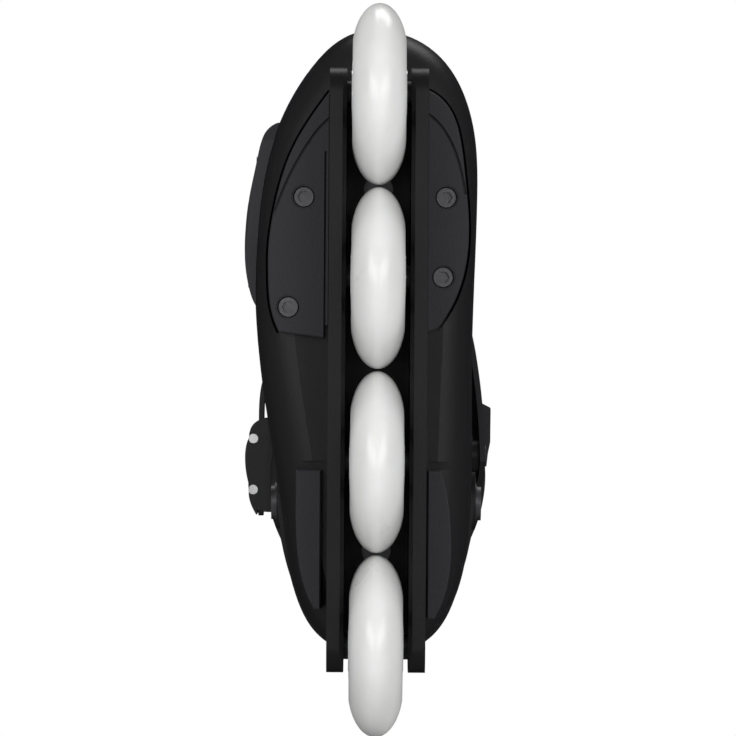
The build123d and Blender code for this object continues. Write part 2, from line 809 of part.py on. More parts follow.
# ---------------------------------------------------------------- shell, then what is fixed to it
save("shell_frame", make_shell_frame())
save("instep_buckle_base", buckle_base(instep_buckle_plane, 8.0, shell_shadow))
save("instep_buckle_pins", buckle_pins(instep_buckle_plane))
save("instep_buckle_rivet", buckle_rivet(instep_buckle_plane, -0.02))
save("instep_buckle_lever", buckle_lever(instep_buckle_plane))
save("instep_buckle_release", buckle_tab(instep_buckle_plane))


def make_instep_strap():
    """Follows the shell from the inner anchor over the crest, then runs flat through the buckle."""
    mouth_x = buckle_front_x + 0.5
    band_edge = strap_crest - strap_across * strap_width / 2
    mouth = instep_buckle_plane.from_local_coords((mouth_x, 0, 0))
    behind = Plane(origin=mouth, x_dir=(0, 0, 1), z_dir=-instep_buckle_plane.x_dir)
    with BuildPart() as strap:
        with BuildSketch(Plane(origin=band_edge, x_dir=(1, 0, 0), z_dir=strap_across)):
            Rectangle(200, 2 * (strap_reach + 10))
        extrude(amount=strap_width)
        add(strap_outer_skin, mode=Mode.INTERSECT)
        add(strap_inner_skin, mode=Mode.SUBTRACT)
        with BuildSketch(behind):
            Rectangle(90, 90)
        extrude(amount=200, mode=Mode.SUBTRACT)
        add(ladder_tongue(instep_buckle_plane, mouth_x + 4))
        add(bar_x(anchor.Y, anchor.Z, rivet_radius, 30, 70), mode=Mode.SUBTRACT)
    return strap.part


save("instep_strap", make_instep_strap())


def make_instep_anchor_rivet():
    """Holds the strap's fixed end to its boss on the inner side."""
    face_x = 49.0
    with BuildPart() as rivet:
        add(bar_x(anchor.Y, anchor.Z, rivet_radius, 40, face_x + 1))
        add(bar_x(anchor.Y, anchor.Z, 2 * rivet_radius, face_x - 3, face_x + 1.2))
        add(strap_outer_skin, mode=Mode.SUBTRACT)
        add(bar_x(anchor.Y, anchor.Z, rivet_radius, 40, face_x))
    return rivet.part


save("instep_strap_rivet", make_instep_anchor_rivet())

# ---------------------------------------------------------------- sole plates and their screws
plate_top_z = 97.0
plate_chamfer = 0.6
plate_lip_radius = 5.6
groove_half = 0.6
groove_depth = 2.0
front_plate_end_out = [(-44.2, -16.8), (-plate_inner_x, -13.9), (-plate_inner_x, -125.2)]
front_plate_end_in = [(26.0, -18.4), (plate_inner_x, -16.9), (plate_inner_x, -125.8)]
outer_slit_x = -23.9  # the outer front plate's slit beside the rail
rear_plate_out = [(-36.2, 44.8), (-36.2, 60.0), (-35.5, 80.0), (-32.3, 97.0), (-27.6, 107.5)]
rear_plate_in = [(28.6, 44.8), (31.4, 55.0), (33.3, 70.0), (32.8, 92.0), (30.2, 103.0), (26.0, 111.5)]


def plate_block(curve, corners):
    """A slab with one smooth edge and straight ones through the corners, its face edges broken."""
    with BuildPart() as block:
        with BuildSketch(Plane.XY.offset(plate_face_z)):
            with BuildLine():
                Spline(*curve)
                Polyline(*corners)
            make_face()
        extrude(amount=plate_top_z - plate_face_z)
        chamfer(block.faces().sort_by(Axis.Z)[0].edges(), plate_chamfer)
    return block.part


def face_groove(curve):
    """A narrow groove in a plate's face along a smooth line."""
    with BuildPart() as groove:
        with BuildSketch(Plane.XY.offset(plate_face_z - 1)):
            with BuildLine() as line:
                Spline(*curve)
            trace(line.line, line_width=2 * groove_half)
        extrude(amount=1 + groove_depth)
    return groove.part


def make_front_plate(curve, corners, crescent, screws):
    with BuildPart() as plate:
        add(plate_block(curve, corners))
        add(face_groove(crescent), mode=Mode.SUBTRACT)
        add(shell_shadow, mode=Mode.SUBTRACT)
        for x, y in screws:
            seat_z = plate_face_z + plate_recess_depth
            lip_z = plate_face_z + 0.5
            add(bar_z(x, y, plate_lip_radius, plate_face_z - 1, lip_z), mode=Mode.SUBTRACT)
            add(bar_z(x, y, plate_recess_radius, plate_face_z - 1, seat_z), mode=Mode.SUBTRACT)
            add(bar_z(x, y, plate_screw_radius, seat_z, plate_top_z), mode=Mode.SUBTRACT)
    return plate.part


def make_outer_front_plate():
    """The outer plate also has a slit beside the rail, and its strip past the slit ends sooner."""
    slit = box_between((outer_slit_x - 0.45, -98, 70), (outer_slit_x + 0.45, 0, plate_face_z + 3))
    with BuildPart() as plate:
        add(make_front_plate(front_plate_out, front_plate_end_out, crescent_out, front_screws_out))
        add(slit, mode=Mode.SUBTRACT)
        add(box_between((outer_slit_x, -20, 70), (0, 0, 100)), mode=Mode.SUBTRACT)
    return plate.part


def make_rear_plate(curve, screws):
    rail_side = plate_inner_x + 1
    inner_x = rail_side if curve[0][0] > 0 else -rail_side - 2
    with BuildPart() as plate:
        corners = [curve[-1], (inner_x, curve[-1][1]), (inner_x, rear_plate_y), curve[0]]
        add(plate_block(curve, corners))
        add(shell_shadow, mode=Mode.SUBTRACT)
        for x, y in screws:
            hole = bar_z(x, y, plate_screw_radius, plate_face_z + 2, plate_top_z)
            add(hole, mode=Mode.SUBTRACT)
    return plate.part


def make_plate_screws():
    """Four front screws with heads toward the ground, four rear ones put in from inside the boot."""
    with BuildPart() as screws:
        seat_z = plate_face_z + plate_recess_depth
        for x, y in front_screws_out + front_screws_in:
            add(bar_z(x, y, plate_screw_radius - 0.02, seat_z, plate_screw_top_z))
            add(bar_z(x, y, plate_head_radius, seat_z - plate_head_height, seat_z))
            mouth = Plane(origin=(x, y, seat_z - plate_head_height), x_dir=(1, 0, 0), z_dir=(0, 0, -1))
            add(hex_socket(mouth, hex_depth), mode=Mode.SUBTRACT)
        for x, y in rear_screws:
            add(bar_z(x, y, plate_screw_radius - 0.02, plate_face_z + 2, rear_head_z))
            add(bar_z(x, y, plate_head_radius, rear_head_z, rear_head_z + plate_head_height))
            mouth = Plane(origin=(x, y, rear_head_z + plate_head_height), x_dir=(1, 0, 0), z_dir=(0, 0, 1))
            add(hex_socket(mouth, hex_depth), mode=Mode.SUBTRACT)
    return screws.part


inner_front_plate = make_front_plate(front_plate_in, front_plate_end_in, crescent_in, front_screws_in)
save("sole_plate_front_outer", make_outer_front_plate())
save("sole_plate_front_inner", inner_front_plate)
save("sole_plate_rear_outer", make_rear_plate(rear_plate_out, rear_screws[:2]))
save("sole_plate_rear_inner", make_rear_plate(rear_plate_in, rear_screws[2:]))
save("sole_plate_screws", make_plate_screws())

# ---------------------------------------------------------------- footbed and the bolts up through the bay roof
heel_pad_radius = 17.0
heel_pad_y = 84.0
heel_pad_recess = 2.8
board_gap = 0.8


def make_sole_bolts():
    with BuildPart() as bolts:
        head_z = bay_roof_z - bay_bolt_head_height
        for y in bay_bolt_ys:
            add(bar_z(0, y, bay_bolt_radius - 0.02, bay_roof_z, floor_z + bay_bolt_reach))
            add(bar_z(0, y, bay_bolt_head_radius, head_z, bay_roof_z))
            mouth = Plane(origin=(0, y, head_z), x_dir=(1, 0, 0), z_dir=(0, 0, -1))
            add(hex_socket(mouth, hex_depth), mode=Mode.SUBTRACT)
    return bolts.part


def make_footbed_board():
    with BuildPart() as board:
        with BuildSketch(Plane.XY.offset(floor_z)):
            add(boot_outline(shell_levels[0], shell_wall + board_gap).moved(Location((0, 0, -sole_z))))
        extrude(amount=board_thickness)
        for y in bay_bolt_ys:
            add(bar_z(0, y, bay_bolt_radius, floor_z - 1, floor_z + bay_bolt_reach), mode=Mode.SUBTRACT)
        recess_z = floor_z + board_thickness - heel_pad_recess
        add(bar_z(0, heel_pad_y, heel_pad_radius + 0.2, recess_z, recess_z + 9), mode=Mode.SUBTRACT)
    return board.part


save("sole_bolts", make_sole_bolts())
save("footbed_board", make_footbed_board())
board_top_z = floor_z + board_thickness
save("heel_pad", bar_z(0, heel_pad_y, heel_pad_radius, board_top_z - heel_pad_recess, board_top_z))

# ---------------------------------------------------------------- guard on the outer side of the forefoot
guard_depth = 5.0
guard_plan = [
    (-40.0, -113.0),
    (-51.2, -107.9),
    (-55.2, -94.9),
    (-59.2, -74.8),
    (-60.6, -55.3),
    (-58.4, -36.7),
    (-55.2, -28.6),
    (-46.0, -23.0),
]
guard_side = [
    (-112, 104),
    (-104, 101),
    (-60, 100),
    (-26, 103),
    (-23, 110),
    (-30, 122),
    (-62, 133),
    (-98, 131),
    (-112, 122),
]
guard_groove_zs = (105.0, 124.0)


def make_lateral_guard():
    with BuildPart() as guard:
        with BuildSketch(Plane.XY.offset(85)):
            with BuildLine():
                Spline(*guard_plan)
                Polyline(guard_plan[-1], (-30, -23), (-30, -113), guard_plan[0])
            make_face()
        extrude(amount=60)
        add(boot_form(shell_levels, -guard_depth), mode=Mode.INTERSECT)
        add(shell_shadow, mode=Mode.SUBTRACT)
        add(side_polygon(guard_side, -80, -20), mode=Mode.INTERSECT)
        for z in guard_groove_zs:
            add(guard_groove(z), mode=Mode.SUBTRACT)
        for y, z, seat, foot in guard_rivets:
            add(bar_x(y, z, 2 * rivet_radius + 0.3, -70, seat), mode=Mode.SUBTRACT)
            add(bar_x(y, z, rivet_radius, -70, foot), mode=Mode.SUBTRACT)
    return guard.part


def guard_groove(z):
    """A long shallow groove in the guard's outer face."""
    with BuildPart() as groove:
        add(box_between((-80, -102, z - 0.8), (-40, -34, z + 0.8)))
        add(boot_form(shell_levels, -guard_depth + 1.2), mode=Mode.SUBTRACT)
    return groove.part


def make_guard_rivets():
    with BuildPart() as rivets:
        for y, z, seat, foot in guard_rivets:
            add(bar_x(y, z, rivet_radius - 0.02, seat, foot))
            add(bar_x(y, z, 2 * rivet_radius, seat - guard_head_height, seat))
    return rivets.part


save("lateral_guard", make_lateral_guard())
save("lateral_guard_rivets", make_guard_rivets())

# ---------------------------------------------------------------- vamp cover over the throat
cover_rise = 0.3
cover_thickness = 2.2
cover_half = 26.0
cover_boss_radius = 5.5
cover_boss_z = 164.5
vamp_head_height = 2.0


def make_vamp_cover():
    with BuildPart() as cover:
        with BuildSketch(Plane.XY.offset(140)) as plan:
            with Locations((0, -66)):
                Rectangle(2 * cover_half, 68)
            fillet(plan.vertices().group_by(Axis.Y)[0], 16)
            fillet(plan.vertices().group_by(Axis.Y)[-1], 8)
        extrude(amount=80)
        add(boot_skin(cover_rise + cover_thickness), mode=Mode.INTERSECT)
        for x, y in vamp_screws:
            add(bar_z(x, y, cover_boss_radius, 150, cover_boss_z))
        add(boot_skin(cover_rise), mode=Mode.SUBTRACT)
        for x, y in vamp_screws:
            add(bar_z(x, y, vamp_screw_radius, 140, 180), mode=Mode.SUBTRACT)
        top_line = [(-120, 225), (-34, 194.5), (20, 194.5)]
        add(side_region(top_line, upward=True), mode=Mode.SUBTRACT)
    return cover.part


def make_vamp_screws():
    with BuildPart() as screws:
        for x, y in vamp_screws:
            add(bar_z(x, y, vamp_screw_radius - 0.02, vamp_screw_foot_z, cover_boss_z))
            add(bar_z(x, y, 2 * vamp_screw_radius, cover_boss_z, cover_boss_z + vamp_head_height))
    return screws.part


save("vamp_cover", make_vamp_cover())
save("vamp_cover_screws", make_vamp_screws())

# ---------------------------------------------------------------- liner, the part that stays in the shell
liner_inset = shell_wall + liner_gap
liner_outer_lifts = [10.5, 10.5, 8.0, 2.0] + [-liner_inset] * (len(shell_levels) - 4)
upper_inner_lifts = [-liner_inset - liner_foot_pad] * (len(shell_levels) - 6)
liner_inner_lifts = [16.5, 14.5, 10.0, 1.0, -7.0, -9.0] + upper_inner_lifts
foot_rim = [(y, z - 1.5) for y, z in rim_line]
insole_gap = 0.8
insole_thickness = 3.4
liner_floor_z = sole_z + liner_inner_lifts[0]


def make_liner_foot():
    """A closed sock of padding up to just under the shell's rim."""
    with BuildPart() as liner:
        add(boot_form(shell_levels, liner_inset, lifts=liner_outer_lifts))
        inside = boot_form(shell_levels, liner_inset + liner_foot_pad, lifts=liner_inner_lifts)
        add(inside, mode=Mode.SUBTRACT)
        add(side_region(foot_rim, upward=True), mode=Mode.SUBTRACT)
        for side in sides:
            floor_x = side * (nut_flange_x - 1.2)
            pocket = bar_x(pivot_y, pivot_z, nut_flange_radius + 1, floor_x, side * 60)
            add(pocket, mode=Mode.SUBTRACT)
    return liner.part


def make_insole():
    inset = liner_inset + liner_foot_pad + insole_gap
    with BuildPart() as insole:
        with BuildSketch(Plane.XY.offset(liner_floor_z)):
            add(boot_outline(shell_levels[0], inset).moved(Location((0, 0, -sole_z))))
        extrude(amount=insole_thickness)
    return insole.part


save("liner_foot", make_liner_foot())
save("insole", make_insole())

# ---------------------------------------------------------------- cuff
cuff_slot_half = 22.0
cuff_low_line = [
    (-60, 250),
    (-30, 246),
    (0, 226),
    (20, 203),
    (38, 174),
    (50, 154),
    (70, 150),
    (110, 152),
    (160, 156),
]
cuff_top_line = [(-60, 296), (-20, 300), (30, 311), (70, 317), (110, 322), (160, 325)]
pivot_pad_radius = 12.5
pivot_pad_x = 46.4
pivot_washer_radius = 9.5
pivot_washer_thickness = 0.8
pivot_head_radius = 8.2
pivot_head_height = 1.8
pivot_play = 0.05
pivot_shoulder_x = pivot_pad_x + pivot_play
strap_rivet_y = 30.0
strap_rivet_z = 285.0
strap_rivet_foot_x = 48.7
strap_rivet_seat_x = 54.8
strap_rivet_head_height = 1.1

cuff_inner = boot_form(cuff_levels, cuff_wall)


def make_cuff():
    with BuildPart() as cuff:
        add(boot_form(cuff_levels))
        for side in sides:
            add(bar_x(pivot_y, pivot_z, pivot_pad_radius, side * 38, side * pivot_pad_x))
        seat = cuff_buckle_plane.origin
        low = (seat.X, seat.Y - buckle_front_x, seat.Z - 15)
        high = (-46, seat.Y - buckle_back_x, seat.Z + 15)
        add(box_between(low, high))
        add(box_between((-70, low[1], low[2]), (seat.X, high[1], high[2])), mode=Mode.SUBTRACT)
        add(cuff_inner, mode=Mode.SUBTRACT)
        slot = box_between((-cuff_slot_half, -80, 100), (cuff_slot_half, 20, 400))
        add(slot, mode=Mode.SUBTRACT)
        add(side_region(cuff_low_line, upward=False), mode=Mode.SUBTRACT)
        add(side_region(cuff_top_line, upward=True), mode=Mode.SUBTRACT)
        with BuildSketch(Plane.XZ.offset(-60)):
            Polygon((-9, 340), (-6, 298), (6, 298), (9, 340), align=None)
        extrude(amount=-80, mode=Mode.SUBTRACT)
        for side in sides:
            hole_radius = pivot_shaft_radius + running_clearance
            pocket_radius = boss_plate_radius + 0.6
            pocket_x = side * (boss_face_x + 0.4)
            add(bar_x(pivot_y, pivot_z, pocket_radius, side * 30, pocket_x), mode=Mode.SUBTRACT)
            add(bar_x(pivot_y, pivot_z, hole_radius, side * 36, side * 60), mode=Mode.SUBTRACT)
        add(buckle_rivet(cuff_buckle_plane, 0.0), mode=Mode.SUBTRACT)
        strap_hole = bar_x(strap_rivet_y, strap_rivet_z, rivet_radius, strap_rivet_foot_x, 70)
        add(strap_hole, mode=Mode.SUBTRACT)
    return cuff.part


def make_pivot_bolts():
    """Shouldered bolts. The shoulder stands on the shell's boss, the head holds a washer."""
    washer_face = pivot_shoulder_x + pivot_washer_thickness
    thread_radius = pivot_thread_radius - 0.02
    with BuildPart() as bolts:
        for side in sides:
            mouth_x = side * (washer_face + pivot_head_height)
            add(bar_x(pivot_y, pivot_z, pivot_shaft_radius, side * boss_face_x, side * washer_face))
            add(bar_x(pivot_y, pivot_z, thread_radius, side * nut_flange_x, side * boss_face_x))
            add(bar_x(pivot_y, pivot_z, pivot_head_radius, side * washer_face, mouth_x))
            mouth = Plane(origin=(mouth_x, pivot_y, pivot_z), x_dir=(0, 1, 0), z_dir=(side, 0, 0))
            add(hex_socket(mouth, hex_depth), mode=Mode.SUBTRACT)
    return bolts.part


def ring_x(y, z, r_from, r_to, x_from, x_to):
    """A flat ring about a bar along X."""
    with BuildPart() as ring:
        add(bar_x(y, z, r_to, x_from, x_to))
        add(bar_x(y, z, r_from, x_from, x_to), mode=Mode.SUBTRACT)
    return ring.part


def make_pivot_washers():
    with BuildPart() as washers:
        for side in sides:
            start = side * pivot_shoulder_x
            end = start + side * pivot_washer_thickness
            add(ring_x(pivot_y, pivot_z, pivot_shaft_radius, pivot_washer_radius, start, end))
    return washers.part


def make_pivot_nuts():
    """Flanged sleeves let into the shell wall from inside."""
    with BuildPart() as nuts:
        for side in sides:
            start = side * nut_flange_x
            step = start + side * nut_flange_thickness
            end = side * (boss_face_x - 0.1)
            sleeve_radius = nut_sleeve_radius - 0.02
            add(ring_x(pivot_y, pivot_z, pivot_thread_radius, sleeve_radius, step, end))
            add(ring_x(pivot_y, pivot_z, pivot_thread_radius, nut_flange_radius, start, step))
    return nuts.part


save("cuff", make_cuff())
save("cuff_pivot_bolts", make_pivot_bolts())
save("cuff_pivot_washers", make_pivot_washers())
save("cuff_pivot_nuts", make_pivot_nuts())

# ---------------------------------------------------------------- cuff strap and buckle
strap_line = [
    (52.4, 30.0),
    (49.3, 16.0),
    (47.6, 6.0),
    (43.6, -9.0),
    (31.5, -24.0),
    (14.0, -31.0),
    (-6.0, -32.0),
    (-26.0, -28.8),
    (-42.0, -18.0),
    (-52.2, -1.0),
]
end_block = [
    (46.0, 16.9),
    (50.6, 15.4),
    (56.1, 18.2),
    (56.0, 35.0),
    (54.9, 40.5),
    (54.2, 47.0),
    (46.0, 47.0),
]
end_block_half = 12.5


def make_cuff_strap():
    """Its thick end is riveted to the cuff's inner side, and it runs flat through the buckle."""
    middle_x = cuff_buckle_plane.origin.X - ladder_z - strap_thickness / 2
    mouth_y = cuff_buckle_plane.origin.Y - buckle_front_x - 0.5
    with BuildPart() as strap:
        with BuildSketch(Plane.XY.offset(strap_rivet_z - end_block_half)) as block:
            Polygon(*end_block, align=None)
            fillet(block.vertices().sort_by(Axis.X)[-2:], 1.2)
        extrude(amount=2 * end_block_half)
        with BuildSketch(Plane.XY.offset(cuff_buckle_plane.origin.Z - strap_width / 2)):
            with BuildLine() as path:
                Spline(*strap_line, (middle_x, mouth_y), tangents=((-0.22, -1), (0, 1)))
            trace(path.line, line_width=strap_thickness)
        extrude(amount=strap_width)
        add(boot_form(cuff_levels, -rest_gap), mode=Mode.SUBTRACT)
        add(ladder_tongue(cuff_buckle_plane, buckle_front_x + 0.5))
        hole = bar_x(strap_rivet_y, strap_rivet_z, rivet_radius, 40, 70)
        add(hole, mode=Mode.SUBTRACT)
        recess = bar_x(strap_rivet_y, strap_rivet_z, 2 * rivet_radius + 0.3, strap_rivet_seat_x, 70)
        add(recess, mode=Mode.SUBTRACT)
    return strap.part


def make_strap_rivet():
    """A flat head sunk in the strap's end, its shank in the cuff wall."""
    seat_x = strap_rivet_seat_x
    head_x = seat_x + strap_rivet_head_height
    with BuildPart() as rivet:
        add(bar_x(strap_rivet_y, strap_rivet_z, rivet_radius - 0.02, strap_rivet_foot_x, seat_x))
        add(bar_x(strap_rivet_y, strap_rivet_z, 2 * rivet_radius, seat_x, head_x))
    return rivet.part


save("cuff_strap", make_cuff_strap())
save("cuff_strap_rivet", make_strap_rivet())
save("cuff_buckle_base", buckle_base(cuff_buckle_plane, 0.0, None))
save("cuff_buckle_pins", buckle_pins(cuff_buckle_plane))
save("cuff_buckle_rivet", buckle_rivet(cuff_buckle_plane, -0.02))
save("cuff_buckle_lever", buckle_lever(cuff_buckle_plane))
save("cuff_buckle_release", buckle_tab(cuff_buckle_plane))

# ---------------------------------------------------------------- liner, the part that moves with the cuff
collar_slot_half = 20.0
tongue_gap = 0.6
collar_low_line = [(-60, 240), (-20, 219), (20, 203), (62, 194.5), (90, 190), (160, 183)]
collar_top_line = [(-60, 316), (0, 320), (60, 328), (100, 335), (160, 338)]
tongue_top_line = [(-60, 350), (60, 341)]
collar_outer = boot_form(cuff_levels, cuff_wall + liner_gap)
collar_inner = boot_form(cuff_levels, cuff_wall + liner_gap + liner_collar_pad)
loop_width = 16.0
loop_thickness = 1.6
loop_y = 92.0
loop_radius = 4.2
loop_foot_z = 322.0
loop_top_z = 342.0


def make_liner_collar(loop):
    with BuildPart() as collar:
        add(collar_outer)
        add(collar_inner, mode=Mode.SUBTRACT)
        add(box_between((-collar_slot_half, -80, 100), (collar_slot_half, 20, 400)), mode=Mode.SUBTRACT)
        add(side_region(collar_low_line, upward=False), mode=Mode.SUBTRACT)
        add(side_region(collar_top_line, upward=True), mode=Mode.SUBTRACT)
        add(loop, mode=Mode.SUBTRACT)
    return collar.part


def make_liner_tongue():
    half = collar_slot_half - tongue_gap
    with BuildPart() as tongue:
        add(collar_outer)
        add(collar_inner, mode=Mode.SUBTRACT)
        add(box_between((-half, -80, 100), (half, 20, 400)), mode=Mode.INTERSECT)
        add(side_region(collar_low_line, upward=False), mode=Mode.SUBTRACT)
        add(side_region(tongue_top_line, upward=True), mode=Mode.SUBTRACT)
    return tongue.part


def make_pull_loop():
    """A webbing loop sewn into the back of the collar."""
    inner = loop_radius - loop_thickness
    with BuildPart() as loop:
        with BuildSketch(Plane.YZ.offset(-loop_width / 2)):
            with Locations((loop_y, (loop_foot_z + loop_top_z) / 2)):
                Rectangle(2 * loop_radius, loop_top_z - loop_foot_z)
                Rectangle(2 * inner, loop_top_z - loop_foot_z, mode=Mode.SUBTRACT)
            with Locations((loop_y, loop_top_z)):
                Circle(loop_radius)
                Circle(inner, mode=Mode.SUBTRACT)
            with Locations((loop_y, loop_top_z - inner)):
                Rectangle(2 * inner, 2 * inner, mode=Mode.SUBTRACT)
        extrude(amount=loop_width)
    return loop.part


pull_loop = make_pull_loop()
save("liner_collar", make_liner_collar(pull_loop))
save("liner_tongue", make_liner_tongue())
save("liner_pull_loop", pull_loop)
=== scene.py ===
import math

import bmesh
import bpy
from mathutils import Matrix, Vector


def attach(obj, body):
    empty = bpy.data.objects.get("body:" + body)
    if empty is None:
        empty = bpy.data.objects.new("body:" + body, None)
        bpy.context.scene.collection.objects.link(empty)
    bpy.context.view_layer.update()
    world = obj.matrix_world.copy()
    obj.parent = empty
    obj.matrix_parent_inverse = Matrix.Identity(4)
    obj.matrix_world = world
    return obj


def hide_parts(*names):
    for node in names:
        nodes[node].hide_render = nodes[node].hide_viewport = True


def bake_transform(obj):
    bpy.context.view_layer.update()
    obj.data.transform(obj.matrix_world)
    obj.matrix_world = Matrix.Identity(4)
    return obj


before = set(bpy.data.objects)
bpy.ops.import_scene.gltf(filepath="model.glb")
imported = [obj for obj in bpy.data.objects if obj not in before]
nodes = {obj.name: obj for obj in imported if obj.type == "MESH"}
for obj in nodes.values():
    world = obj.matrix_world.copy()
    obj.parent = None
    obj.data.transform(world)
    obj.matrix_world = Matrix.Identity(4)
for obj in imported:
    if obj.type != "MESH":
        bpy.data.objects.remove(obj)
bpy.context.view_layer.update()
scene = bpy.context.scene

# ----------------------------------------------------------------------------------------------------
# The camera looks straight up at the soles from two metres under the ground, toe to the top of the image. A
# long lens keeps the cuff, high behind the sole, only a little smaller than the wheels.
camera_depth = 2.0
camera_data = bpy.data.cameras.new("under_camera")
camera_data.lens = 226.7
camera_data.sensor_width = 36.0
camera_data.clip_start = 0.05
camera_data.clip_end = 30.0
camera = bpy.data.objects.new("under_camera", camera_data)
camera.location = (-0.0042, -0.0009, -camera_depth)
camera.rotation_euler = (math.pi, 0.0, math.radians(-0.39))
scene.collection.objects.link(camera)
scene.camera = camera
scene.view_settings.view_transform = "Standard"


# ----------------------------------------------------------------------------------------------------
# A white studio. The sky behind the skate is white, and what lights it is pale below and dark overhead.
# Soft panels hang around it. The floor is one-sided, clear from below and solid from above, and fades to
# plain white away from the skate.
class Wire:
    """One output in a material. Sums, differences, products and quotients of wires add Math nodes."""

    def __init__(self, recipe, socket):
        self.recipe = recipe
        self.socket = socket

    def joined(self, operation, first, second):
        return self.recipe.node("ShaderNodeMath", {"operation": operation}, {0: first, 1: second})

    def __add__(self, other):
        return self.joined("ADD", self, other)

    def __radd__(self, other):
        return self.joined("ADD", other, self)

    def __sub__(self, other):
        return self.joined("SUBTRACT", self, other)

    def __rsub__(self, other):
        return self.joined("SUBTRACT", other, self)

    def __mul__(self, other):
        return self.joined("MULTIPLY", self, other)

    def __rmul__(self, other):
        return self.joined("MULTIPLY", other, self)

    def __truediv__(self, other):
        return self.joined("DIVIDE", self, other)

    def __rtruediv__(self, other):
        return self.joined("DIVIDE", other, self)


class Recipe:
    """A material being mixed. node() adds any node, from its type, settings and what goes into its sockets."""

    def __init__(self, name):
        self.material = bpy.data.materials.new(name)
        self.material.use_nodes = True
        self.tree = self.material.node_tree
        self.tree.nodes.clear()
        self.out = self.tree.nodes.new("ShaderNodeOutputMaterial")

    def node(self, kind, settings=None, inputs=None, output=0):
        made = self.tree.nodes.new(kind)
        for key, value in (settings or {}).items():
            if key == "stops":
                ramp = made.color_ramp
                while len(ramp.elements) < len(value):
                    ramp.elements.new(0.5)
                for element, (place, tone) in zip(ramp.elements, value):
                    element.position = place
                    element.color = (*tone, 1.0) if hasattr(tone, "__len__") else (tone, tone, tone, 1.0)
            else:
                setattr(made, key, value)
        for key, value in (inputs or {}).items():
            self.fill(made.inputs[key], value)
        return Wire(self, made.outputs[output])

    def fill(self, socket, value):
        if isinstance(value, Wire):
            self.tree.links.new(value.socket, socket)
        elif socket.type == "RGBA" and len(value) == 3:
            socket.default_value = (*value, 1.0)
        else:
            socket.default_value = value

    def place(self, stretch=(1, 1, 1), turn=(0, 0, 0)):
        """Object coordinates, stretched and turned."""
        where = self.node("ShaderNodeTexCoord", output="Object")
        return self.node("ShaderNodeMapping", None, {"Vector": where, "Scale": stretch, "Rotation": turn})

    def noise(self, scale, detail=4.0, roughness=0.5, where=None):
        return self.node(
            "ShaderNodeTexNoise",
            None,
            {"Vector": where or self.place(), "Scale": scale, "Detail": detail, "Roughness": roughness},
        )

    def ramp(self, value, *stops):
        return self.node("ShaderNodeValToRGB", {"stops": stops}, {"Fac": value})

    def blend(self, share, first, second, how="MIX"):
        return self.node(
            "ShaderNodeMix",
            {"data_type": "RGBA", "blend_type": how},
            {0: share, 6: first, 7: second},
            output=2,
        )

    def bump(self, height, strength, distance, over=None):
        inputs = {"Height": height, "Strength": strength, "Distance": distance}
        if over:
            inputs["Normal"] = over
        return self.node("ShaderNodeBump", None, inputs)

    def done(self, **sockets):
        """Ends the recipe in a Principled shader, with sockets named in words joined by underscores."""
        named = {key.replace("_", " "): value for key, value in sockets.items()}
        shader = self.node("ShaderNodeBsdfPrincipled", None, named)
        self.tree.links.new(shader.socket, self.out.inputs["Surface"])
        return self.material


def paint(material, *names):
    """Gives CAD nodes or pieces their material."""
    for name in names:
        piece = nodes.get(name) or bpy.data.objects[name]
        piece.data.materials.clear()
        piece.data.materials.append(material)


sky = bpy.data.worlds.new("studio_sky")
sky.use_nodes = True
sky_paper = sky.node_tree.nodes["Background"]
sky_paper.inputs["Color"].default_value = (1.0, 1.0, 1.0, 1.0)
sky_paths = sky.node_tree.nodes.new("ShaderNodeLightPath")
sky_direction = sky.node_tree.nodes.new("ShaderNodeTexCoord")
sky_height = sky.node_tree.nodes.new("ShaderNodeSeparateXYZ")
sky_level = sky.node_tree.nodes.new("ShaderNodeMapRange")  # pale below the floor, dark overhead
sky_level.inputs["From Min"].default_value = -0.5
sky_level.inputs["From Max"].default_value = 0.7
sky_level.inputs["To Min"].default_value = 0.52
sky_level.inputs["To Max"].default_value = 0.02
sky_choice = sky.node_tree.nodes.new("ShaderNodeMapRange")
sky_choice.inputs["To Max"].default_value = 1.0  # what the camera sees behind the skate
sky.node_tree.links.new(sky_direction.outputs["Generated"], sky_height.inputs["Vector"])
sky.node_tree.links.new(sky_height.outputs["Z"], sky_level.inputs["Value"])
sky.node_tree.links.new(sky_paths.outputs["Is Camera Ray"], sky_choice.inputs["Value"])
sky.node_tree.links.new(sky_level.outputs["Result"], sky_choice.inputs["To Min"])
sky.node_tree.links.new(sky_choice.outputs["Result"], sky_paper.inputs["Strength"])
scene.world = sky


def soft_panel(name, place, aim, size, power, mirrored):
    """A rectangular lamp that the camera doesn't see. mirrored says whether surfaces reflect it."""
    lamp = bpy.data.lights.new(name, "AREA")
    lamp.shape = "RECTANGLE"
    lamp.size = size[0]
    lamp.size_y = size[1]
    lamp.energy = power
    panel = bpy.data.objects.new(name, lamp)
    panel.location = place
    panel.rotation_euler = (Vector(aim) - Vector(place)).to_track_quat("-Z", "Y").to_euler()
    panel.visible_camera = False
    panel.visible_glossy = mirrored
    scene.collection.objects.link(panel)


middle = (0.0, 0.0, 0.12)
soft_panel("panel_above_left", (-1.1, -0.7, 1.6), middle, (1.2, 1.2), 30.0, False)
soft_panel("panel_above_right", (1.2, 0.5, 1.5), middle, (1.2, 1.2), 24.0, False)
soft_panel("panel_under_left", (-0.8, -0.25, -1.0), middle, (0.5, 1.5), 7.0, True)
soft_panel("panel_under_right", (0.8, -0.25, -1.0), middle, (0.5, 1.5), 7.0, True)
soft_panel("panel_front", (0.3, -1.6, 0.9), middle, (1.6, 0.8), 12.0, True)

